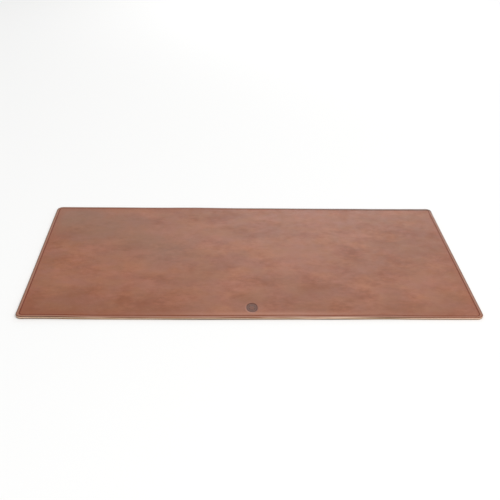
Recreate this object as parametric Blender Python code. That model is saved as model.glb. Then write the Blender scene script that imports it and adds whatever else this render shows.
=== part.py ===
"""Leather desk mat: two plies of leather glued together. Metres, +Z up, lying on its underside.

The origin is the middle of the underside. The long side runs along X, and the front edge,
which carries the pressed mark, faces -Y. From the desk up, the stack is a suede backing, the
film of adhesive that joins the plies, and the dyed leather panel that one writes on.
"""

import math

import bmesh
import bpy

# Driving dimensions of the whole mat
LENGTH = 0.800
DEPTH = 0.400
CORNER_RADIUS = 0.012
CORNER_STEPS = 8

# The stack, from the desk up
BACKING_THICKNESS = 0.0012
FILM_THICKNESS = 0.0003
PANEL_THICKNESS = 0.0024
PLY_CLEARANCE = 0.0003

BACKING_BOTTOM = 0.0
BACKING_TOP = BACKING_BOTTOM + BACKING_THICKNESS
FILM_BOTTOM = BACKING_TOP + PLY_CLEARANCE
FILM_TOP = FILM_BOTTOM + FILM_THICKNESS
PANEL_BOTTOM = FILM_TOP + PLY_CLEARANCE
PANEL_TOP = PANEL_BOTTOM + PANEL_THICKNESS

# Edges: the panel's upper edge and the backing's lower edge are rounded over, and the
# adhesive stops short of the cut edge
PANEL_ROUNDING = 0.0008
BACKING_ROUNDING = 0.0003
ROUNDING_STEPS = 3
FILM_INSET = 0.001

# The creased line, a half-round groove parallel to the edge
CREASE_INSET = 0.006
CREASE_WIDTH = 0.0014
CREASE_DEPTH = 0.0005
CREASE_STEPS = 6

# The pressed mark, a plain oval medallion near the front edge
MARK_WIDTH = 0.0200
MARK_HEIGHT = 0.0265
MARK_CENTRE_Y = -DEPTH / 2 + 0.0293
MARK_STEPS = 48
# Fraction of the oval's size, and depth below the panel's face, from the rim inwards
MARK_PROFILE = (
    (1.00, 0.0),
    (0.93, 0.0004),
    (0.80, 0.0004),
    (0.74, 0.0002),
    (0.66, 0.0002),
    (0.60, 0.0004),
    (0.34, 0.0004),
    (0.26, 0.0002),
)

LEATHER_BROWN = (0.29, 0.10, 0.045)
ADHESIVE_AMBER = (0.36, 0.26, 0.165)
SUEDE_BROWN = (0.21, 0.135, 0.09)


def clear_scene():
    for obj in list(bpy.data.objects):
        bpy.data.objects.remove(obj, do_unlink=True)


def outline(inset):
    """Points of the mat's rounded rectangle, moved inwards by inset."""
    radius = CORNER_RADIUS - inset
    centre_x = LENGTH / 2 - CORNER_RADIUS
    centre_y = DEPTH / 2 - CORNER_RADIUS
    points = []
    for quarter, (side_x, side_y) in enumerate(((1, 1), (-1, 1), (-1, -1), (1, -1))):
        for step in range(CORNER_STEPS + 1):
            angle = (quarter + step / CORNER_STEPS) * math.pi / 2
            x = side_x * centre_x + radius * math.cos(angle)
            y = side_y * centre_y + radius * math.sin(angle)
            points.append((x, y))
    return points


def oval(fraction):
    """Points of the mark's oval at this fraction of its full size."""
    points = []
    for step in range(MARK_STEPS):
        angle = 2 * math.pi * step / MARK_STEPS
        x = MARK_WIDTH / 2 * fraction * math.cos(angle)
        y = MARK_CENTRE_Y + MARK_HEIGHT / 2 * fraction * math.sin(angle)
        points.append((x, y))
    return points


def add_loops(mesh, sections):
    """One ring of vertices for each (points, height), with quads from each ring to the next."""
    rings = [[mesh.verts.new((x, y, height)) for x, y in points] for points, height in sections]
    for lower, upper in zip(rings, rings[1:]):
        for i in range(len(lower)):
            after = (i + 1) % len(lower)
            mesh.faces.new((lower[i], lower[after], upper[after], upper[i]))
    return rings


def ring_edges(mesh, ring):
    """The edges that join a ring's neighbouring vertices."""
    edges = []
    for i, vertex in enumerate(ring):
        after = ring[(i + 1) % len(ring)]
        edges.append(mesh.edges.get((vertex, after)) or mesh.edges.new((vertex, after)))
    return edges


def rounded_edge(radius):
    """(inset, depth below the flat) of the quarter circle from the cut edge up to the flat."""
    profile = []
    for step in range(ROUNDING_STEPS + 1):
        angle = math.pi / 2 * step / ROUNDING_STEPS
        profile.append((radius * (1 - math.cos(angle)), radius * (1 - math.sin(angle))))
    return profile


def crease():
    """(inset, depth below the flat) across the creased line, from its outer to its inner rim."""
    profile = []
    for step in range(CREASE_STEPS + 1):
        angle = math.pi * step / CREASE_STEPS
        inset = CREASE_INSET - CREASE_WIDTH / 2 * math.cos(angle)
        profile.append((inset, CREASE_DEPTH * math.sin(angle)))
    return profile


def material(name, colour, roughness):
    made = bpy.data.materials.new(name)
    made.use_nodes = True
    shader = made.node_tree.nodes["Principled BSDF"]
    shader.inputs["Base Color"].default_value = (*colour, 1.0)
    shader.inputs["Roughness"].default_value = roughness
    shader.inputs["Metallic"].default_value = 0.0
    return made


def finish_object(name, mesh, made_material):
    """Turns the bmesh into a named object with smooth rounded edges and sharp corners."""
    bmesh.ops.recalc_face_normals(mesh, faces=mesh.faces)
    data = bpy.data.meshes.new(name)
    mesh.to_mesh(data)
    mesh.free()
    data.materials.append(made_material)
    data.shade_smooth()
    data.set_sharp_from_angle(angle=math.radians(35))
    obj = bpy.data.objects.new(name, data)
    bpy.context.scene.collection.objects.link(obj)
    return obj


def build_backing():
    """A thin suede ply, cut flush with the panel, its lower edge eased."""
    mesh = bmesh.new()
    lower_edge = reversed(rounded_edge(BACKING_ROUNDING))
    sections = [(outline(inset), BACKING_BOTTOM + height) for inset, height in lower_edge]
    sections.append((outline(0.0), BACKING_TOP))
    rings = add_loops(mesh, sections)
    mesh.faces.new(rings[0])
    mesh.faces.new(rings[-1])
    return finish_object("suede_backing", mesh, material("suede", SUEDE_BROWN, 0.95))


def build_film():
    """The dried adhesive between the plies."""
    mesh = bmesh.new()
    sections = [(outline(FILM_INSET), height) for height in (FILM_BOTTOM, FILM_TOP)]
    rings = add_loops(mesh, sections)
    mesh.faces.new(rings[0])
    mesh.faces.new(rings[-1])
    return finish_object("bond_film", mesh, material("adhesive", ADHESIVE_AMBER, 0.6))


def build_panel():
    """The dyed panel, with its rounded upper edge, creased line and pressed mark."""
    mesh = bmesh.new()
    profile = [(0.0, PANEL_THICKNESS), *rounded_edge(PANEL_ROUNDING), *crease()]
    rim = [(outline(inset), PANEL_TOP - depth) for inset, depth in profile]
    rim_rings = add_loops(mesh, rim)
    mark = [(oval(fraction), PANEL_TOP - depth) for fraction, depth in MARK_PROFILE]
    mark_rings = add_loops(mesh, mark)
    mesh.faces.new(rim_rings[0])
    mesh.faces.new(mark_rings[-1])
    around_mark = ring_edges(mesh, rim_rings[-1]) + ring_edges(mesh, mark_rings[0])
    bmesh.ops.triangle_fill(mesh, edges=around_mark, use_beauty=True, use_dissolve=False)
    return finish_object("top_leather", mesh, material("dyed_leather", LEATHER_BROWN, 0.4))


clear_scene()
build_backing()
build_film()
build_panel()
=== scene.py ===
"""Looks of the leather desk mat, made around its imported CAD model. Metres, +Z up.

Three pieces lie on one another, as on the real mat: the suede backing, the dried adhesive and
the dyed leather panel. All three follow the same slight waviness, so the stack stays closed.
"""

import math

import bmesh
import bpy
import numpy as np
from mathutils import Matrix, Vector


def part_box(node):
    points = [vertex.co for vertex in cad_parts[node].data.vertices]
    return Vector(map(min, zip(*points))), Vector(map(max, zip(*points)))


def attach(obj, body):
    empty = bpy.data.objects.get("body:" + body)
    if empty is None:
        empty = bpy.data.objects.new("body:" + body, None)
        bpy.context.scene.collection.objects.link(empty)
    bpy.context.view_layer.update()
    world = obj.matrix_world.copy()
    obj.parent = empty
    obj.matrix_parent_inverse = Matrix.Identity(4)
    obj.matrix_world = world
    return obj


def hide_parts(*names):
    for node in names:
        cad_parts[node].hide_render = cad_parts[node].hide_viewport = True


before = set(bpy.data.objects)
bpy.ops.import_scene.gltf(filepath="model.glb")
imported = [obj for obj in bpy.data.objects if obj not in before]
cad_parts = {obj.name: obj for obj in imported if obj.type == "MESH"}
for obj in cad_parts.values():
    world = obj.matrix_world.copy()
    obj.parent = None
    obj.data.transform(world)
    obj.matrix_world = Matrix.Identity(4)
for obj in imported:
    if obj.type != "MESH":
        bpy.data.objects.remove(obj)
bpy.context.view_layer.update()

MM = 0.001

# Camera: where the photographer stood, and how the camera was held
LENS_MM = 54.39
CAMERA_AT = Vector((-0.0573, -1.2418, 0.7592))
CAMERA_PITCH = math.radians(30.777)
CAMERA_YAW = math.radians(2.730)
CAMERA_ROLL = math.radians(1.650)

# The stage: a pale floor, an even white surround, and two softboxes, each
# (where it hangs, what it faces, its size, its power in watts)
FLOOR_HALF_SIDE = 12.0
FLOOR_LEVEL = -0.05 * MM  # a hair under the mat
FLOOR_WHITE = (0.90, 0.90, 0.895, 1.0)
SURROUND_STRENGTH = 0.67
FRONT_SOFTBOX = ((2.4, -2.4, 5.2), (0.0, 0.0, 0.0), (3.5, 3.5), 203.0)
BACK_SOFTBOX = ((0.48, 2.4, 0.95), (0.1, 0.15, 0.0), (1.6, 0.9), 6.6)

# The plies as the CAD model has them
PANEL_LOW, PANEL_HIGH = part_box("top_leather")
FILM_LOW, FILM_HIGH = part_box("bond_film")
BACKING_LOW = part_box("suede_backing")[0]
HALF_LENGTH = PANEL_HIGH.x
HALF_DEPTH = PANEL_HIGH.y
CORNER_RADIUS = 12 * MM
PLY_GAP = 0.02 * MM  # the plies meet, and this hairline keeps their meshes apart

# Worked details of the panel, all within half a millimetre of the CAD model's
PANEL_ROUNDING = 0.8 * MM
CROWN_DROP = 0.12 * MM  # how far the border slopes down towards its rounded edge
CROWN_REACH = 3 * MM
CREASE_INSET = 6 * MM
CREASE_WIDTH = 1.5 * MM
CREASE_DEPTH = 0.5 * MM
SHOULDER_HEIGHT = 0.05 * MM
MARK_HALF_WIDTH = 9.6 * MM
MARK_HALF_HEIGHT = 13.25 * MM
MARK_CENTRE_Y = PANEL_LOW.y + 29.3 * MM
MARK_DEPTH = 0.45 * MM
MARK_SQUARENESS = 2.25  # 2 would be a true ellipse
MARK_CUTS = 13  # across each quad of the grid under the mark
MARK_MARGIN = 2 * MM  # that is cut finely too, around the mark
LIP_HEIGHT = 0.08 * MM
LIP_AND_HIGHLIGHT_SIDE = math.radians(-120)  # the iron leaned this way and raised a ridge there, painted lighter as a highlight
MARK_SHADOW_SIDE = math.radians(-15)  # painted shadow spills a little beyond the oval on this side

# Plies as meshes: spacing of the grid lines in the field, the panel's ring lines by their inset,
# and the material slot of each part of a ply
GRID_STEP = 5.5 * MM
ROUNDING_STEPS = 6
CREASE_STEPS = 10
BORDER_INSETS = (1.3 * MM, 2.0 * MM, 2.9 * MM, 3.8 * MM, 4.6 * MM)
FIELD_INSETS = (7.1 * MM, 7.7 * MM, 8.6 * MM, 9.7 * MM, 10.8 * MM, CORNER_RADIUS)
TOP, WALL, UNDERSIDE, WORKED = range(4)

# Cut edges: how far the lower edges are eased and the edges bulge, and how far the dried
# adhesive and the matted suede stay behind the panel's edge
PANEL_EASE = 0.2 * MM
PANEL_BULGE = 0.06 * MM
PANEL_WALL_ROWS = 7
FILM_INSET = 0.35 * MM
FILM_BULGE = 0.08 * MM
FILM_RINGS = 9
BACKING_EASE = 0.35 * MM
BACKING_EASE_STEPS = 3
BACKING_RECESS = 0.05 * MM
BACKING_RINGS = 13

# How the mat lies: (x, y, rise, reach), each a soft swelling off the desk
LIFTS = (
    (-0.380, -0.200, 0.9 * MM, 0.080),
    (0.075, -0.215, 0.6 * MM, 0.030),
    (0.210, -0.215, 0.4 * MM, 0.060),
    (-0.110, 0.215, 0.7 * MM, 0.055),
    (0.400, 0.200, 0.5 * MM, 0.080),
)
RIPPLE_HEIGHT = 0.12 * MM

# Where the hand-cut front edge strays from its line: (x, stray towards the back, reach), and
# how far into the mat the stray is felt
FRONT_STRAYS = (
    (-0.365, 1.4 * MM, 0.060),
    (-0.095, -0.6 * MM, 0.080),
    (0.230, 0.7 * MM, 0.045),
)
FRONT_STRAY_DEPTH = 0.06

# Corners cut sharper than the template: (side along x, side along y, how far out)
SHARP_CORNERS = (
    (1, 1, 1.5 * MM),
    (-1, -1, 0.8 * MM),
)
SHARP_CORNER_REACH = 8 * MM

# Where the creased line was drawn nearer the front edge: (x from, x to, by how much)
CREASE_DRIFT = (0.235, 0.300, 1.2 * MM)
CREASE_DRIFT_REACH = 2.6 * MM

# Where the creasing iron hardly marked the front: (x, reach)
FAINT_CREASE = (0.066, 0.028)

# Along the front edge, each (x, reach, share): where the rim's dark dye is thin, where the
# rim was shaved to raw leather, where the cut edge is stained, where it is paler, as freshly
# bare fibre and towards the right end as painted light, and where the suede's edge is darker
THIN_RIMS = (
    (-0.265, 0.030, 0.6),
    (-0.130, 0.085, 0.95),
    (0.030, 0.050, 0.8),
    (0.130, 0.060, 1.0),
    (0.300, 0.100, 0.3),
    (0.385, 0.050, 0.5),
)
RAW_RIMS = (
    (-0.268, 0.028, 0.45),
    (-0.130, 0.060, 0.22),
    (-0.070, 0.028, 0.28),
    (0.030, 0.016, 0.50),
    (0.078, 0.024, 0.50),
    (0.150, 0.044, 1.00),
)
STAINED_EDGES = (
    (-0.320, 0.060, 0.35),
    (-0.120, 0.110, 0.50),
    (0.040, 0.045, 0.30),
    (0.238, 0.030, 0.60),
)
# Paler cut edge: freshly bare fibre, and towards the right end painted light
BARE_AND_LIT_EDGES = (
    (-0.400, 0.020, 0.5),
    (0.290, 0.035, 0.4),
    (0.380, 0.055, 1.0),
)
# Where the suede's cut edge is darker along the front
DARKER_SUEDE_EDGES = (
    (-0.060, 0.095, 0.70),
    (0.138, 0.030, 0.80),
    (0.330, 0.060, 0.25),
)

# Where the dye took more (+) or less (-) deeply: (x, y, strength, reach along x, reach along y)
DYE_BLOTCHES = (
    (0.380, 0.070, 0.9, 0.090, 0.040),
    (-0.080, 0.185, 1.0, 0.045, 0.055),
    (-0.380, -0.095, -0.9, 0.085, 0.030),
    (0.145, 0.185, -0.6, 0.090, 0.055),
    (0.070, -0.035, -0.8, 0.060, 0.040),
    (0.010, 0.095, 0.8, 0.090, 0.028),
    (0.070, -0.120, 0.7, 0.090, 0.028),
    (0.220, 0.085, -0.8, 0.040, 0.040),
    (0.305, -0.085, -0.7, 0.028, 0.055),
    (-0.210, 0.090, -0.8, 0.060, 0.020),
    (-0.230, -0.015, -0.9, 0.045, 0.020),
    (0.250, 0.015, 0.8, 0.060, 0.020),
    (0.330, 0.095, 1.0, 0.028, 0.020),
    (-0.285, -0.080, 0.8, 0.050, 0.030),
    (-0.360, -0.170, 1.3, 0.100, 0.055),
    (0.050, -0.195, 0.8, 0.500, 0.035),
    (-0.370, -0.010, 0.6, 0.050, 0.090),
    (0.010, -0.150, 0.9, 0.024, 0.014),
    (-0.385, -0.110, 0.8, 0.030, 0.075),
    (-0.112, 0.012, -0.85, 0.050, 0.032),
    (-0.253, 0.176, -0.8, 0.042, 0.022),
    (-0.255, 0.080, -0.6, 0.065, 0.020),
    (0.311, -0.154, 0.75, 0.040, 0.022),
    (0.284, 0.070, -0.7, 0.030, 0.034),
)

# Where the dye came out greyer: (x, y, strength, reach along x, reach along y)
DULL_PATCHES = (
    (-0.370, 0.165, 0.9, 0.070, 0.060),
    (-0.270, 0.110, 0.7, 0.080, 0.085),
    (-0.160, 0.025, 0.7, 0.060, 0.060),
)

# Painted highlight on the strip behind the middle of the front crease, where the rise beyond
# the groove catches the light: (x, reach) and (inset, reach)
CREASE_HIGHLIGHT_ALONG = (0.030, 0.150)
CREASE_HIGHLIGHT_ACROSS = (11.5 * MM, 5.0 * MM)
CREASE_HIGHLIGHT_FADE = (25 * MM, 35 * MM)  # and it fades out this far from the front edge

# Shaved rims: the insets between which they fade out, and how far they reach round the corners
RAW_RIM_FADE = (0.8 * MM, 2.4 * MM)
RAW_RIM_ROUND = 6 * MM

# How far in from the edge the dark edge dye reaches along the front, and how much farther it
# reaches along the other sides, along the back, and along the right of the back. It changes
# from one to the next within BURNISH_FADE of the corner
BURNISH_REACH = 1.35 * MM
BURNISH_BESIDE = 0.75 * MM
BURNISH_BEHIND = 0.9 * MM
BURNISH_BEHIND_RIGHT = 3.2 * MM
BURNISH_FADE = 20 * MM

# Dye that bled round the creased line along the back: x where it begins, x where it is full
DARK_BORDER_START = (0.05, 0.25)
DARK_BORDER_REACH = 2.4 * MM


def smooth_step(edge_0, edge_1, value):
    share = np.clip((value - edge_0) / (edge_1 - edge_0), 0.0, 1.0)
    return share * share * (3 - 2 * share)


def bell(value, centre, reach):
    return np.exp(-(((value - centre) / reach) ** 2))


def along_front(places, x):
    """Sum of the (x, reach, share) places along the front edge, kept under 1."""
    total = sum(share * bell(x, centre, reach) for centre, reach, share in places)
    return np.clip(total, 0, 1)


def patches(places, x, y):
    """Sum of the soft (x, y, strength, reach along x, reach along y) patches."""
    return sum(
        strength * bell(x, centre_x, reach_x) * bell(y, centre_y, reach_y)
        for centre_x, centre_y, strength, reach_x, reach_y in places
    )


# ---------------------------------------------------------------------------- camera and stage


def make_camera():
    forward = Vector((
        math.sin(CAMERA_YAW) * math.cos(CAMERA_PITCH),
        math.cos(CAMERA_YAW) * math.cos(CAMERA_PITCH),
        -math.sin(CAMERA_PITCH),
    ))
    level = Vector((math.cos(CAMERA_YAW), -math.sin(CAMERA_YAW), 0.0))
    upright = level.cross(forward)
    right = level * math.cos(CAMERA_ROLL) + upright * math.sin(CAMERA_ROLL)
    up = upright * math.cos(CAMERA_ROLL) - level * math.sin(CAMERA_ROLL)
    turn = Matrix((right, up, -forward)).transposed()
    data = bpy.data.cameras.new("camera")
    data.lens = LENS_MM
    data.sensor_width = 36.0
    data.clip_start = 0.01
    data.clip_end = 100.0
    camera = bpy.data.objects.new("camera", data)
    camera.matrix_world = Matrix.Translation(CAMERA_AT) @ turn.to_4x4()
    bpy.context.scene.collection.objects.link(camera)
    bpy.context.scene.camera = camera


def make_floor():
    mesh = bpy.data.meshes.new("floor")
    quarters = ((-1, -1), (1, -1), (1, 1), (-1, 1))
    corners = [(x * FLOOR_HALF_SIDE, y * FLOOR_HALF_SIDE, FLOOR_LEVEL) for x, y in quarters]
    mesh.from_pydata(corners, [], [(0, 1, 2, 3)])
    floor = bpy.data.objects.new("floor", mesh)
    bpy.context.scene.collection.objects.link(floor)
    material = bpy.data.materials.new("pale_floor")
    material.use_nodes = True
    shader = material.node_tree.nodes["Principled BSDF"]
    shader.inputs["Base Color"].default_value = FLOOR_WHITE
    shader.inputs["Roughness"].default_value = 0.9
    shader.inputs["Specular IOR Level"].default_value = 0.0
    mesh.materials.append(material)


def make_softbox(name, location, target, size, power):
    data = bpy.data.lights.new(name, "AREA")
    data.shape = "RECTANGLE"
    data.size, data.size_y = size
    data.energy = power
    light = bpy.data.objects.new(name, data)
    light.location = location
    aim = Vector(target) - Vector(location)
    light.rotation_euler = aim.to_track_quat("-Z", "Y").to_euler()
    bpy.context.scene.collection.objects.link(light)


def make_lights():
    world = bpy.data.worlds.new("studio")
    world.use_nodes = True
    background = world.node_tree.nodes["Background"]
    background.inputs["Color"].default_value = (1.0, 1.0, 1.0, 1.0)
    background.inputs["Strength"].default_value = SURROUND_STRENGTH
    bpy.context.scene.world = world
    make_softbox("front", *FRONT_SOFTBOX)
    make_softbox("back", *BACK_SOFTBOX)
    bpy.context.scene.view_settings.view_transform = "Standard"


# ------------------------------------------------------------------------------- mesh building


def inset_lines():
    """Insets of the panel's rings, from the edge to the corners' centre line."""
    turns = [math.pi / 2 * k / ROUNDING_STEPS for k in range(ROUNDING_STEPS + 1)]
    rounding = [PANEL_ROUNDING * (1 - math.cos(turn)) for turn in turns]
    groove_start = CREASE_INSET - CREASE_WIDTH / 2
    groove = [groove_start + CREASE_WIDTH * k / CREASE_STEPS for k in range(CREASE_STEPS + 1)]
    return [*rounding, *BORDER_INSETS, *groove, *FIELD_INSETS]


def plan_grid(insets):
    """(x, y, inset) over a rounded rectangle, as a grid whose outer rings follow the edge."""
    rings = len(insets) - 1
    insets = np.array(insets)
    lines, outward = [], []  # outward says how many rings out of the field each line lies
    for half in (HALF_LENGTH, HALF_DEPTH):
        inner = half - CORNER_RADIUS
        count = round(2 * inner / GRID_STEP)
        middle = np.linspace(-inner, inner, count + 1)[1:-1]
        lines.append(np.concatenate([insets - half, middle, (half - insets)[::-1]]))
        index = np.arange(len(lines[-1]))
        outer = np.maximum(rings - index, index - (len(index) - 1 - rings))
        outward.append(np.maximum(outer, 0))
    x, y = np.meshgrid(*lines, indexing="ij")
    along_x, along_y = np.meshgrid(*outward, indexing="ij")
    largest = np.maximum(along_x, along_y)
    smallest = np.minimum(along_x, along_y)
    angle = math.pi / 4 * smallest / np.maximum(largest, 1)
    radius = CORNER_RADIUS - insets[rings - largest]
    far, near = radius * np.cos(angle), radius * np.sin(angle)
    in_corner = smallest > 0  # where the ring lines turn along an arc
    steep = along_x >= along_y
    corner_x = np.sign(x) * (HALF_LENGTH - CORNER_RADIUS + np.where(steep, far, near))
    corner_y = np.sign(y) * (HALF_DEPTH - CORNER_RADIUS + np.where(steep, near, far))
    x = np.where(in_corner, corner_x, x)
    y = np.where(in_corner, corner_y, y)
    field_inset = np.minimum(HALF_LENGTH - np.abs(x), HALF_DEPTH - np.abs(y))
    inset = np.where(largest > 0, insets[rings - largest], field_inset)
    return x, y, inset


def grid_faces(shape, facing_down=False):
    index = np.arange(shape[0] * shape[1]).reshape(shape)
    quads = np.stack([index[:-1, :-1], index[1:, :-1], index[1:, 1:], index[:-1, 1:]], axis=-1)
    quads = quads.reshape(-1, 4)
    return quads[:, ::-1] if facing_down else quads


def border(shape):
    """Flat indices of a grid's border, anticlockwise seen from above."""
    index = np.arange(shape[0] * shape[1]).reshape(shape)
    return np.concatenate([index[:-1, 0], index[-1, :-1], index[:0:-1, -1], index[0, :0:-1]])


def lift(x, y):
    """How far the mat stands off the desk at (x, y)."""
    total = np.zeros_like(x)
    for centre_x, centre_y, rise, reach in LIFTS:
        distance = ((x - centre_x) ** 2 + (y - centre_y) ** 2) / reach**2
        total += rise * np.exp(-distance)
    ripple = np.sin(21 * x + 9 * y + 0.7) * np.sin(13 * y - 17 * x + 2.1)
    return total + RIPPLE_HEIGHT * (1 + ripple)


def stray(x, y):
    """How far the hand-cut mat strays towards the back at (x, y)."""
    total = np.zeros_like(x)
    for centre, distance, reach in FRONT_STRAYS:
        total += distance * bell(x, centre, reach)
    return total * bell(y, -HALF_DEPTH, FRONT_STRAY_DEPTH)


def lay_down(mesh):
    """Gives a flat ply the lie of the mat, the same for every ply."""
    points = coordinates(mesh)
    x, y = points[:, 0].copy(), points[:, 1].copy()
    middle = CORNER_RADIUS * (1 - math.sqrt(0.5))
    for side_x, side_y, out in SHARP_CORNERS:
        from_x = x - side_x * (HALF_LENGTH - middle)
        from_y = y - side_y * (HALF_DEPTH - middle)
        push = out * math.sqrt(0.5) * bell(np.hypot(from_x, from_y), 0.0, SHARP_CORNER_REACH)
        points[:, 0] += side_x * push
        points[:, 1] += side_y * push
    points[:, 1] += stray(x, y)
    points[:, 2] += lift(x, y)
    set_coordinates(mesh, points)


def slab(name, top_insets, bottom_insets, wall, top_height, bottom_height):
    """A closed ply. wall is (outward offset, height) for each ring between its two faces."""
    x, y, inset = plan_grid(top_insets)
    low_x, low_y, low_inset = plan_grid(bottom_insets)
    shape = x.shape
    loop = border(shape)
    flat_x, flat_y = x.ravel(), y.ravel()
    inner_x, inner_y = HALF_LENGTH - CORNER_RADIUS, HALF_DEPTH - CORNER_RADIUS
    nearest_x = np.clip(flat_x[loop], -inner_x, inner_x)
    nearest_y = np.clip(flat_y[loop], -inner_y, inner_y)
    out_x, out_y = flat_x[loop] - nearest_x, flat_y[loop] - nearest_y
    length = np.hypot(out_x, out_y)
    out_x, out_y = out_x / length, out_y / length
    # The upper face
    points = [np.stack([flat_x, flat_y, np.full(x.size, top_height)], axis=-1)]
    insets = [inset.ravel()]
    faces = [grid_faces(shape)]
    kinds = [np.full(len(faces[0]), TOP)]
    # The wall, ring by ring down from the border of the upper face
    first = loop
    count = x.size
    for offset, height in wall:
        ring = np.arange(len(loop)) + count
        ring_points = np.stack([
            flat_x[loop] + out_x * offset,
            flat_y[loop] + out_y * offset,
            np.full(len(loop), height),
        ], axis=-1)
        points.append(ring_points)
        insets.append(np.zeros(len(loop)))
        faces.append(np.stack([first, ring, np.roll(ring, -1), np.roll(first, -1)], axis=-1))
        kinds.append(np.full(len(loop), WALL))
        first = ring
        count += len(loop)
    # The lower face, whose border is the last ring of the wall
    inside = np.ones(x.size, bool)
    inside[loop] = False
    number = np.empty(x.size, int)
    number[loop] = first
    number[inside] = count + np.arange(inside.sum())
    low = np.stack([low_x.ravel(), low_y.ravel(), np.full(x.size, bottom_height)], axis=-1)
    points.append(low[inside])
    insets.append(low_inset.ravel()[inside])
    faces.append(number[grid_faces(shape, facing_down=True)])
    kinds.append(np.full(len(faces[-1]), UNDERSIDE))
    return mesh_from(name, points, faces, insets, kinds)


def mesh_from(name, points, faces, insets, kinds):
    """A mesh from lists of arrays; a face's kind is its material slot."""
    points, faces = np.concatenate(points), np.concatenate(faces)
    mesh = bpy.data.meshes.new(name)
    mesh.from_pydata(points.tolist(), [], faces.tolist())
    attribute = mesh.attributes.new("inset", "FLOAT", "POINT")
    attribute.data.foreach_set("value", np.concatenate(insets).astype(np.float32))
    mesh.polygons.foreach_set("material_index", np.concatenate(kinds).astype(np.int32))
    mesh.update()
    return mesh


def coordinates(mesh):
    values = np.empty(len(mesh.vertices) * 3, np.float32)
    mesh.vertices.foreach_get("co", values)
    return values.reshape(-1, 3).astype(float)


def set_coordinates(mesh, values):
    mesh.vertices.foreach_set("co", values.astype(np.float32).ravel())
    mesh.update()


def point_values(mesh, name):
    values = np.empty(len(mesh.vertices), np.float32)
    mesh.attributes[name].data.foreach_get("value", values)
    return values.astype(float)


def add_point_values(mesh, name, values):
    attribute = mesh.attributes.new(name, "FLOAT", "POINT")
    attribute.data.foreach_set("value", values.astype(np.float32))


def finish_piece(name, mesh, materials, node):
    """Links the mesh as a shown piece that stands for a CAD node and rides on its body."""
    for material in materials:
        mesh.materials.append(material)
    mesh.shade_smooth()
    mesh.set_sharp_from_angle(angle=math.radians(40))
    piece = bpy.data.objects.new(name, mesh)
    bpy.context.scene.collection.objects.link(piece)
    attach(piece, "root")
    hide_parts(node)
    return piece


# ------------------------------------------------------------------------------------- plies


def refine_mark(mesh):
    """Cuts the quads under the pressed mark finely enough to carry its relief."""
    work = bmesh.new()
    work.from_mesh(mesh)
    edges = set()
    for face in work.faces:
        centre = face.calc_center_median()
        near_x = abs(centre.x) < MARK_HALF_WIDTH + MARK_MARGIN
        near_y = abs(centre.y - MARK_CENTRE_Y) < MARK_HALF_HEIGHT + MARK_MARGIN
        if face.material_index == TOP and near_x and near_y:
            edges.update(face.edges)
    bmesh.ops.subdivide_edges(work, edges=list(edges), cuts=MARK_CUTS, use_grid_fill=True)
    work.to_mesh(mesh)
    work.free()


def crease_faint(x, y):
    """How much the creased line is missing at (x, y)."""
    return bell(x, *FAINT_CREASE) * (1 - smooth_step(0.0, CORNER_RADIUS, y - PANEL_LOW.y))


def crease_height(inset, x, y):
    """Relief of the creased line: a rounded groove between two low shoulders. Drawn by hand,
    it wanders by a hair and is pressed unevenly."""
    wander = 0.06 * MM * np.sin(23 * x + 31 * y) + 0.03 * MM * np.sin(71 * x - 57 * y)
    pressure = 1 + 0.10 * np.sin(47 * x + 61 * y) + 0.05 * np.sin(171 * x - 133 * y)
    pressure = pressure * (1 - 0.8 * crease_faint(x, y))
    across = (inset - CREASE_INSET - wander) / (CREASE_WIDTH / 2)
    groove = -CREASE_DEPTH * pressure * np.clip(1 - across**2, 0, None) ** 0.75
    shoulder = SHOULDER_HEIGHT * np.exp(-((np.abs(across) - 1.35) ** 2) / 0.18)
    return groove + shoulder


def rounding_height(inset):
    """Drop of the rounded upper edge, and the slight crown of the band outside the crease."""
    short = np.clip(PANEL_ROUNDING - inset, 0, None)
    drop = PANEL_ROUNDING - np.sqrt(np.clip(PANEL_ROUNDING**2 - short**2, 0, None))
    fall = CROWN_DROP * np.clip(1 - inset / CROWN_REACH, 0, None) ** 2
    return -drop - fall


def mark_shape(x, y):
    """The mark: a sunk oval with a raised ring and a rosette. Gives its relief, and how far
    each point is pressed, how far it bears painted shade on the oval's rim and painted shadow
    just beyond it, and how far it lies on the ridge round the oval, painted lighter as a
    highlight. A radius of 1 is the oval's edge."""
    across, along = x / MARK_HALF_WIDTH, (y - MARK_CENTRE_Y) / MARK_HALF_HEIGHT
    power = MARK_SQUARENESS
    radius = (np.abs(across) ** power + np.abs(along) ** power) ** (1 / power)
    angle = np.arctan2(along, across)
    sunk = 1 - smooth_step(0.92, 1.0, radius)
    ring = smooth_step(0.66, 0.71, radius) * (1 - smooth_step(0.78, 0.83, radius))
    petal_reach = 0.22 + 0.34 * np.abs(np.cos(3 * angle)) ** 0.7
    petals = 1 - smooth_step(petal_reach - 0.05, petal_reach + 0.02, radius)
    heart = 1 - smooth_step(0.08, 0.13, radius)
    raised = np.clip(0.7 * ring + 0.7 * petals - 0.5 * heart, 0, 1)
    rim = smooth_step(0.80, 0.86, radius) * (1 - smooth_step(0.99, 1.05, radius))
    near_side = (0.5 + 0.5 * np.cos(angle - LIP_AND_HIGHLIGHT_SIDE)) ** 2
    # The ridge round the oval, whose near side is also painted lighter as a highlight
    lip_and_highlight = bell(radius, 1.14, 0.10) * near_side
    relief = MARK_DEPTH * (-sunk + 0.7 * sunk * raised) + LIP_HEIGHT * lip_and_highlight
    # Painted shade along the oval's rim, and painted shadow spilling beyond it on one side
    shadow_beyond = bell(radius, 1.06, 0.12) * (0.5 + 0.5 * np.cos(angle - MARK_SHADOW_SIDE)) ** 2
    mark_rim_shade = rim * (0.75 + 0.25 * np.abs(np.sin(angle))) + 0.35 * shadow_beyond * (1 - sunk)
    return relief, sunk * (1 - 0.75 * raised), mark_rim_shade, lip_and_highlight


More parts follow.
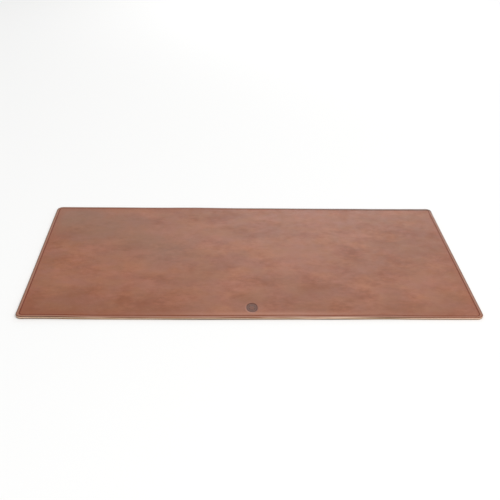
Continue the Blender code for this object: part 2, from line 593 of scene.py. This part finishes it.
def burnish_share(inset, x, y):
    """How far the edge dye covers the rounded edge; it is narrowest along the front."""
    beside = smooth_step(0.0, BURNISH_FADE, y - PANEL_LOW.y)
    behind = smooth_step(-BURNISH_FADE, 0.0, y - PANEL_HIGH.y)
    behind_right = behind * smooth_step(-0.15, 0.15, x)
    reach = BURNISH_REACH + BURNISH_BESIDE * beside
    reach = reach + BURNISH_BEHIND * behind + BURNISH_BEHIND_RIGHT * behind_right
    thin = along_front(THIN_RIMS, x) * (1 - beside)
    return (1 - smooth_step(0.2, 1.0, inset / reach)) * (1 - thin)


def dark_border_share(inset, x, y):
    """How far dye has bled round the creased line along the right of the back edge."""
    behind = smooth_step(-CORNER_RADIUS, -CORNER_RADIUS / 2, y - PANEL_HIGH.y)
    along = smooth_step(*DARK_BORDER_START, x)
    return behind * along * bell(inset, CREASE_INSET, DARK_BORDER_REACH)


def raw_share(inset, x, y):
    """How far the front rim was shaved down to raw leather."""
    at_front = 1 - smooth_step(0.0, RAW_RIM_ROUND, y - PANEL_LOW.y)
    return along_front(RAW_RIMS, x) * at_front * (1 - smooth_step(*RAW_RIM_FADE, inset))


def crease_highlight_share(inset, x, y):
    """How far the painted highlight covers the strip behind the front crease."""
    at_front = 1 - smooth_step(*CREASE_HIGHLIGHT_FADE, y - PANEL_LOW.y)
    return bell(x, *CREASE_HIGHLIGHT_ALONG) * bell(inset, *CREASE_HIGHLIGHT_ACROSS) * at_front


def crease_drift(points, inset):
    """Moves the creased line towards the front edge, where it was drawn nearer to it. The
    move dies away round the corner."""
    start, end, distance = CREASE_DRIFT
    past_x = np.clip(points[:, 0] - (HALF_LENGTH - CORNER_RADIUS), 0, None)
    past_y = np.clip(PANEL_LOW.y + CORNER_RADIUS - points[:, 1], 0, None)
    turn = np.arctan2(past_x, past_y)
    share = smooth_step(start, end, points[:, 0]) * bell(inset, CREASE_INSET, CREASE_DRIFT_REACH)
    share = share * (past_y > 0) * (1 - smooth_step(0, math.pi / 2, turn))
    points[:, 0] += distance * share * np.sin(turn)
    points[:, 1] -= distance * share * np.cos(turn)


def set_matt_faces(mesh, inset, faint):
    """Gives the rounded edge and the creased groove their own slot: worked leather is matt."""
    slack = 0.01 * MM
    off_crease = np.abs(inset - CREASE_INSET)
    rim = inset < PANEL_ROUNDING + slack
    groove = (off_crease < CREASE_WIDTH / 2 + slack) & (faint < 0.5)
    for face in mesh.polygons:
        corners = list(face.vertices)
        if face.material_index == TOP and (rim[corners].all() or groove[corners].all()):
            face.material_index = WORKED


def build_panel():
    bottom = FILM_HIGH.z + PLY_GAP
    top = PANEL_HIGH.z
    insets = inset_lines()
    low_insets = list(np.linspace(PANEL_EASE, CORNER_RADIUS, len(insets)))
    wall_top, wall_bottom = top - PANEL_ROUNDING - CROWN_DROP, bottom + PANEL_EASE
    wall = []
    for k in range(1, PANEL_WALL_ROWS + 1):
        share = k / PANEL_WALL_ROWS
        height = wall_top + (wall_bottom - wall_top) * share
        wall.append((PANEL_BULGE * math.sin(math.pi * share), height))
    wall.append((-0.3 * PANEL_EASE, bottom + 0.3 * PANEL_EASE))
    wall.append((-PANEL_EASE, bottom))
    mesh = slab("leather_panel", insets, low_insets, wall, top, bottom)
    refine_mark(mesh)
    points = coordinates(mesh)
    x, y = points[:, 0], points[:, 1]
    inset = point_values(mesh, "inset")
    on_top = points[:, 2] > top - 1e-6
    crease_drift(points, inset)
    relief, pressed, mark_rim_shade, lip_and_highlight = mark_shape(x, y)
    depth = top - points[:, 2]
    shaped = top + rounding_height(inset) + crease_height(inset, x, y) + relief
    points[:, 2] = np.where(on_top, shaped, points[:, 2])
    set_coordinates(mesh, points)
    lay_down(mesh)
    add_point_values(mesh, "pressed", np.where(on_top, pressed, 0))
    add_point_values(mesh, "mark_rim_shade", np.where(on_top, mark_rim_shade, 0))
    add_point_values(mesh, "lip_and_highlight", np.where(on_top, lip_and_highlight, 0))
    add_point_values(mesh, "depth", depth)
    add_point_values(mesh, "dye", patches(DYE_BLOTCHES, x, y))
    add_point_values(mesh, "dull", patches(DULL_PATCHES, x, y))
    add_point_values(mesh, "burnish", burnish_share(inset, x, y))
    add_point_values(mesh, "border", dark_border_share(inset, x, y))
    add_point_values(mesh, "raw", raw_share(inset, x, y))
    add_point_values(mesh, "crease_highlight", crease_highlight_share(inset, x, y))
    faint = crease_faint(x, y)
    add_point_values(mesh, "faint", faint)
    at_front = 1 - smooth_step(0.0, CORNER_RADIUS, y - PANEL_LOW.y)
    add_point_values(mesh, "stain", along_front(STAINED_EDGES, x) * at_front)
    add_point_values(mesh, "bare_and_lit", along_front(BARE_AND_LIT_EDGES, x) * at_front)
    set_matt_faces(mesh, inset, faint)
    materials = [
        grain_material("dyed_grain", GRAIN_SPECULAR),
        cut_edge_material(),
        flesh_material(),
        grain_material("dyed_rim", WORKED_SPECULAR),
    ]
    return finish_piece("leather_panel", mesh, materials, "top_leather")


def build_film():
    low, high = FILM_LOW.z, FILM_HIGH.z
    insets = list(np.linspace(FILM_INSET, CORNER_RADIUS, FILM_RINGS))
    wall = [(FILM_BULGE, (low + high) / 2), (0.0, low)]
    mesh = slab("bond_line", insets, insets, wall, high, low)
    lay_down(mesh)
    material = adhesive_material()
    return finish_piece("bond_line", mesh, [material] * 3, "bond_film")


def build_backing():
    low, high = BACKING_LOW.z, FILM_LOW.z - PLY_GAP
    insets = list(np.linspace(0.0, CORNER_RADIUS, BACKING_RINGS))
    low_insets = list(np.linspace(BACKING_EASE, CORNER_RADIUS, BACKING_RINGS))
    wall = [(-BACKING_RECESS, high - 0.3 * MM), (-BACKING_RECESS, low + 0.7 * MM)]
    wall.append((0.0, low + BACKING_EASE))
    for k in range(1, BACKING_EASE_STEPS + 1):
        angle = math.pi / 2 * k / BACKING_EASE_STEPS
        inwards, up = BACKING_EASE * (1 - math.cos(angle)), BACKING_EASE * (1 - math.sin(angle))
        wall.append((-inwards, low + up))
    mesh = slab("suede_ply", insets, low_insets, wall, high, low)
    points = coordinates(mesh)
    at_front = 1 - smooth_step(0.0, CORNER_RADIUS, points[:, 1] - BACKING_LOW.y)
    add_point_values(mesh, "edge_darkening", along_front(DARKER_SUEDE_EDGES, points[:, 0]) * at_front)
    lay_down(mesh)
    materials = [suede_material("suede_upper"), suede_edge_material(), suede_material("suede")]
    return finish_piece("suede_ply", mesh, materials, "suede_backing")


# --------------------------------------------------------------------------------- materials

# Linear colours of the dyed face, and those painted over it, each (attribute, share, colour)
DYE_DEEP = (0.226, 0.058, 0.0165)
# The paler end of the dye's clouds is also greyer: painted sheen mixed into the dye
DYE_PALE_AND_SHEEN = (0.370, 0.127, 0.070)
DYE_WARMER = (0.277, 0.107, 0.063)
DYE_DULL = (0.225, 0.125, 0.080)
DYE_BLOTCH_TONE = 0.065
SALLOW_FILTER = (1.0, 1.02, 0.80)
FIELD_BORDER = (0.285, 0.077, 0.031)
# Painted sheen: a lighter, greyer band between the rounded edge and the creased line
SHEEN_BAND = (0.335, 0.165, 0.105)
SHEEN_BAND_INSET = 3.2 * MM
# Painted highlight behind the front crease
CREASE_HIGHLIGHT = (0.42, 0.175, 0.105)
# Dark red of the heat-creased line, deepened by painted shade in its groove
CREASE_RED_AND_SHADE = (0.150, 0.016, 0.003)
WORKED_TINTS = (
    ("border", 0.60, (0.085, 0.045, 0.030)),
    ("burnish", 0.94, (0.066, 0.034, 0.024)),
    ("raw", 1.00, (0.60, 0.41, 0.30)),
    # painted highlight on the ridge round the mark
    ("lip_and_highlight", 0.80, (0.43, 0.20, 0.13)),
    ("pressed", 0.92, (0.070, 0.034, 0.028)),
    # painted shade on the mark's rim and painted shadow just beyond it
    ("mark_rim_shade", 0.90, (0.075, 0.016, 0.008)),
)
PORE_BROWN = (0.10, 0.04, 0.025)
VALLEY_BROWN = (0.13, 0.035, 0.012)

# Grain: cells per metre, how high the relief stands, and how it shines, plain and worked
PORE_SCALE = 900.0
PEBBLE_SCALE = 1050.0
GRAIN_HEIGHT = 0.07 * MM
GRAIN_SPECULAR = 0.5
WORKED_SPECULAR = 0.2

# Linear colours of the edges and the hidden faces; a pair is the darker and the lighter fibre
TANNED_FIBRE = ((0.66, 0.43, 0.30), (0.90, 0.66, 0.50))
MOTTLED_TAN = (0.50, 0.34, 0.21)
STAINED_TAN = (0.30, 0.20, 0.115)
# Paler cut edge, bare fibre and towards the right end painted light
BARE_AND_LIT_TAN = (0.97, 0.64, 0.49)
DYED_FIBRE = (0.17, 0.085, 0.052)
FLESH_FIBRE = ((0.40, 0.27, 0.17), (0.58, 0.42, 0.29))
ADHESIVE = ((0.26, 0.18, 0.11), (0.45, 0.33, 0.21))
SUEDE = ((0.150, 0.088, 0.055), (0.225, 0.140, 0.092))
SUEDE_NAP = (0.33, 0.225, 0.155)
SUEDE_EDGE = ((0.23, 0.120, 0.056), (0.44, 0.250, 0.125))
# Darker brown of the suede's cut edge in places along the front
DARKER_SUEDE = (0.100, 0.055, 0.026)


class Nodes:
    """Short ways to add and join the nodes of one material."""

    def __init__(self, name):
        self.material = bpy.data.materials.new(name)
        self.material.use_nodes = True
        self.tree = self.material.node_tree
        self.shader = self.tree.nodes["Principled BSDF"]
        self.place = self.tree.nodes.new("ShaderNodeTexCoord").outputs["Object"]

    def feed(self, socket, value):
        if isinstance(value, bpy.types.NodeSocket):
            self.tree.links.new(value, socket)
        else:
            socket.default_value = value

    def stretched(self, scale):
        node = self.tree.nodes.new("ShaderNodeMapping")
        self.feed(node.inputs["Vector"], self.place)
        node.inputs["Scale"].default_value = scale
        return node.outputs["Vector"]

    def noise(self, scale, detail=3.0, roughness=0.5, distortion=0.0, shift=0.0, place=None):
        node = self.tree.nodes.new("ShaderNodeTexNoise")
        node.noise_dimensions = "4D"
        self.feed(node.inputs["Vector"], place or self.place)
        node.inputs["W"].default_value = shift
        node.inputs["Scale"].default_value = scale
        node.inputs["Detail"].default_value = detail
        node.inputs["Roughness"].default_value = roughness
        node.inputs["Distortion"].default_value = distortion
        return node.outputs["Fac"]

    def warped(self, scale, distance):
        """The object's coordinates, shaken by noise up to this distance."""
        noise = self.tree.nodes.new("ShaderNodeTexNoise")
        self.feed(noise.inputs["Vector"], self.place)
        noise.inputs["Scale"].default_value = scale
        offset = self.tree.nodes.new("ShaderNodeVectorMath")
        offset.operation = "MULTIPLY_ADD"
        self.feed(offset.inputs[0], noise.outputs["Color"])
        offset.inputs[1].default_value = (2 * distance,) * 3
        self.feed(offset.inputs[2], self.place)
        return offset.outputs["Vector"]

    def cells(self, scale, feature="F1", place=None):
        node = self.tree.nodes.new("ShaderNodeTexVoronoi")
        node.feature = feature
        self.feed(node.inputs["Vector"], place or self.place)
        node.inputs["Scale"].default_value = scale
        if feature == "SMOOTH_F1":
            node.inputs["Smoothness"].default_value = 0.6
        return node.outputs["Distance"]

    def attribute(self, name):
        node = self.tree.nodes.new("ShaderNodeAttribute")
        node.attribute_name = name
        return node.outputs["Fac"]

    def math(self, operation, first, second=0.0):
        node = self.tree.nodes.new("ShaderNodeMath")
        node.operation = operation
        self.feed(node.inputs[0], first)
        self.feed(node.inputs[1], second)
        return node.outputs[0]

    def remap(self, value, from_low, from_high, to_low=0.0, to_high=1.0, smooth=True):
        node = self.tree.nodes.new("ShaderNodeMapRange")
        node.interpolation_type = "SMOOTHSTEP" if smooth else "LINEAR"
        self.feed(node.inputs["Value"], value)
        node.inputs["From Min"].default_value = from_low
        node.inputs["From Max"].default_value = from_high
        node.inputs["To Min"].default_value = to_low
        node.inputs["To Max"].default_value = to_high
        return node.outputs["Result"]

    def mix(self, share, first, second, blend="MIX"):
        node = self.tree.nodes.new("ShaderNodeMix")
        node.data_type = "RGBA"
        node.blend_type = blend
        self.feed(node.inputs[0], share)
        self.feed(node.inputs[6], self.rgba(first))
        self.feed(node.inputs[7], self.rgba(second))
        return node.outputs[2]

    def tint(self, colour, attribute, share, other):
        """Mixes in another colour as far as a point attribute says, times share."""
        return self.mix(self.math("MULTIPLY", self.attribute(attribute), share), colour, other)

    @staticmethod
    def rgba(colour):
        return colour if isinstance(colour, bpy.types.NodeSocket) else (*colour, 1.0)

    def bump(self, height, distance, strength=1.0):
        node = self.tree.nodes.new("ShaderNodeBump")
        node.inputs["Distance"].default_value = distance
        node.inputs["Strength"].default_value = strength
        self.feed(node.inputs["Height"], height)
        return node.outputs["Normal"]

    def finish(self, colour, roughness, normal, specular):
        self.feed(self.shader.inputs["Base Color"], colour)
        self.feed(self.shader.inputs["Roughness"], roughness)
        self.feed(self.shader.inputs["Normal"], normal)
        self.shader.inputs["Specular IOR Level"].default_value = specular
        return self.material


def dye_colour(n):
    """Cloudy aniline dye: deeper and paler, the paler clouds greyer as painted sheen, then
    warmer, sallower and greyer in places.
    """
    strokes = n.stretched((0.6, 1.0, 1.0))
    clouds = n.noise(8.0, detail=2.0, roughness=0.5, shift=0.0, place=strokes)
    blotches = n.noise(30.0, detail=4.0, roughness=0.6, distortion=0.3, shift=3.0, place=strokes)
    flecks = n.noise(150.0, detail=4.0, roughness=0.65, shift=7.0, place=strokes)
    tone = n.math("ADD", n.math("MULTIPLY", clouds, 0.40), n.math("MULTIPLY", blotches, 0.50))
    tone = n.math("ADD", tone, n.math("MULTIPLY", flecks, 0.34))
    tone = n.math("SUBTRACT", tone, 0.12)
    tone = n.math("SUBTRACT", tone, n.math("MULTIPLY", n.attribute("dye"), DYE_BLOTCH_TONE))
    colour = n.mix(n.remap(tone, 0.345, 0.655), DYE_DEEP, DYE_PALE_AND_SHEEN)
    warmer = n.remap(n.noise(17.0, detail=3.0, shift=11.0), 0.35, 0.65)
    colour = n.mix(n.math("MULTIPLY", warmer, 0.6), colour, DYE_WARMER)
    sallow = n.remap(n.noise(26.0, detail=3.0, shift=19.0, place=strokes), 0.35, 0.65)
    colour = n.mix(sallow, colour, SALLOW_FILTER, blend="MULTIPLY")
    return n.tint(colour, "dull", 0.6, DYE_DULL)


def border_colour(n, colour):
    """The field's border, painted sheen on the band beside the creased line, a painted highlight
    behind the front crease, and the line itself, its red deepened by painted shade.
    """
    inset = n.attribute("inset")
    colour = n.mix(n.remap(inset, 7 * MM, 26 * MM, 0.35, 0.0), colour, FIELD_BORDER)
    # painted sheen on the band beside the creased line
    off_band = n.math("ABSOLUTE", n.math("SUBTRACT", inset, SHEEN_BAND_INSET))
    colour = n.mix(n.remap(off_band, 0.8 * MM, 2.2 * MM, 0.7, 0.0), colour, SHEEN_BAND)
    # painted highlight on the strip behind the front crease
    colour = n.tint(colour, "crease_highlight", 0.75, CREASE_HIGHLIGHT)
    off_crease = n.math("ABSOLUTE", n.math("SUBTRACT", inset, CREASE_INSET))
    # the creased line's own dark red, deepened by painted shade in the groove
    in_crease = n.remap(off_crease, 0.5 * MM, 1.5 * MM, 0.80, 0.0)
    marked = n.math("SUBTRACT", 1.0, n.math("MULTIPLY", n.attribute("faint"), 0.85))
    return n.mix(n.math("MULTIPLY", in_crease, marked), colour, CREASE_RED_AND_SHADE)


def grain_material(name, specular):
    """Dyed full-grain face, with its fine pebble grain and pores, and darker where worked."""
    n = Nodes(name)
    colour = border_colour(n, dye_colour(n))
    for attribute, share, tint in WORKED_TINTS:
        colour = n.tint(colour, attribute, share, tint)
    grained = n.math("SUBTRACT", 1.0, n.attribute("raw"))
    pores = n.math("MULTIPLY", n.remap(n.cells(PORE_SCALE), 0.0, 0.22, 1.0, 0.0), grained)
    colour = n.mix(n.math("MULTIPLY", pores, 0.25), colour, PORE_BROWN)
    warped = n.warped(420.0, 0.5 * MM)
    valleys = n.cells(PEBBLE_SCALE, feature="DISTANCE_TO_EDGE", place=warped)
    valleys = n.math("MULTIPLY", n.remap(valleys, 0.0, 0.16, 1.0, 0.0), grained)
    colour = n.mix(n.math("MULTIPLY", valleys, 0.22), colour, VALLEY_BROWN)
    pebbles = n.cells(PEBBLE_SCALE, feature="SMOOTH_F1", place=warped)
    wrinkles = n.noise(420.0, detail=3.0, roughness=0.6, shift=5.0)
    height = n.math("MULTIPLY", wrinkles, 0.6)
    for dip, share in ((pebbles, 0.4), (valleys, 0.5), (pores, 0.5)):
        height = n.math("SUBTRACT", height, n.math("MULTIPLY", dip, share))
    normal = n.bump(height, GRAIN_HEIGHT, strength=0.7)
    roughness = n.remap(n.noise(60.0, detail=3.0, shift=13.0), 0.3, 0.7, 0.34, 0.44)
    return n.finish(colour, roughness, normal, specular)


def cut_edge_material():
    """Raw cut edge: pale tanned fibre in flat layers, stained by the dye just under the grain."""
    n = Nodes("cut_edge")
    flat = n.stretched((1.0, 1.0, 6.0))
    layers = n.noise(300.0, detail=5.0, roughness=0.7, shift=2.0, place=flat)
    mottle = n.noise(22.0, detail=3.0, roughness=0.6, shift=4.0)
    colour = n.mix(n.remap(layers, 0.3, 0.7), *TANNED_FIBRE)
    colour = n.mix(n.remap(mottle, 0.42, 0.62, 0.0, 0.45), colour, MOTTLED_TAN)
    colour = n.tint(colour, "stain", 1.0, STAINED_TAN)
    # paler where bare, and painted light towards the right end
    colour = n.tint(colour, "bare_and_lit", 0.8, BARE_AND_LIT_TAN)
    dye_line = n.noise(60.0, detail=4.0, roughness=0.65, shift=8.0)
    dye_line = n.remap(dye_line, 0.3, 0.7, -0.45 * MM, 0.35 * MM, smooth=False)
    dye_depth = n.math("ADD", n.attribute("depth"), dye_line)
    colour = n.mix(n.remap(dye_depth, 0.85 * MM, 1.1 * MM, 0.8, 0.0), colour, DYED_FIBRE)
    normal = n.bump(layers, 0.12 * MM, strength=0.7)
    return n.finish(colour, 0.75, normal, specular=0.3)


def flesh_material():
    """Flesh side of the panel, under which the adhesive lies."""
    n = Nodes("flesh_side")
    fibres = n.noise(350.0, detail=5.0, roughness=0.7)
    colour = n.mix(n.remap(fibres, 0.3, 0.7), *FLESH_FIBRE)
    return n.finish(colour, 0.9, n.bump(fibres, 0.15 * MM), specular=0.2)


def adhesive_material():
    """Dried contact adhesive, amber and slightly dusty at the edge."""
    n = Nodes("dried_adhesive")
    dust = n.noise(260.0, detail=4.0, roughness=0.6)
    colour = n.mix(n.remap(dust, 0.35, 0.7), *ADHESIVE)
    return n.finish(colour, 0.6, n.bump(dust, 0.05 * MM), specular=0.4)


def suede_material(name):
    """Napped suede: short fibres brushed in soft, uneven strokes."""
    n = Nodes(name)
    strokes = n.noise(14.0, detail=3.0, distortion=1.2, shift=1.0)
    nap = n.noise(900.0, detail=4.0, roughness=0.75, shift=6.0)
    brushed = n.stretched((1.0, 0.45, 1.0))
    tufts = n.noise(210.0, detail=3.0, roughness=0.6, shift=9.0, place=brushed)
    colour = n.mix(n.remap(strokes, 0.38, 0.62), *SUEDE)
    colour = n.mix(n.remap(nap, 0.35, 0.65, 0.0, 0.45), colour, SUEDE_NAP)
    height = n.math("ADD", n.math("MULTIPLY", nap, 0.6), n.math("MULTIPLY", tufts, 0.5))
    n.shader.inputs["Sheen Weight"].default_value = 0.35
    n.shader.inputs["Sheen Roughness"].default_value = 0.5
    return n.finish(colour, 0.95, n.bump(height, 0.25 * MM), specular=0.15)


def suede_edge_material():
    """Cut edge of the suede: darker, matted fibres."""
    n = Nodes("suede_edge")
    fibres = n.noise(500.0, detail=5.0, roughness=0.7, place=n.stretched((1.0, 1.0, 3.0)))
    colour = n.mix(n.remap(fibres, 0.3, 0.7), *SUEDE_EDGE)
    # darker in places along the front
    colour = n.tint(colour, "edge_darkening", 1.0, DARKER_SUEDE)
    return n.finish(colour, 0.95, n.bump(fibres, 0.15 * MM), specular=0.15)


# ----------------------------------------------------------------------------------- assembly

make_camera()
make_floor()
make_lights()

panel = build_panel()
build_film()
backing = build_backing()
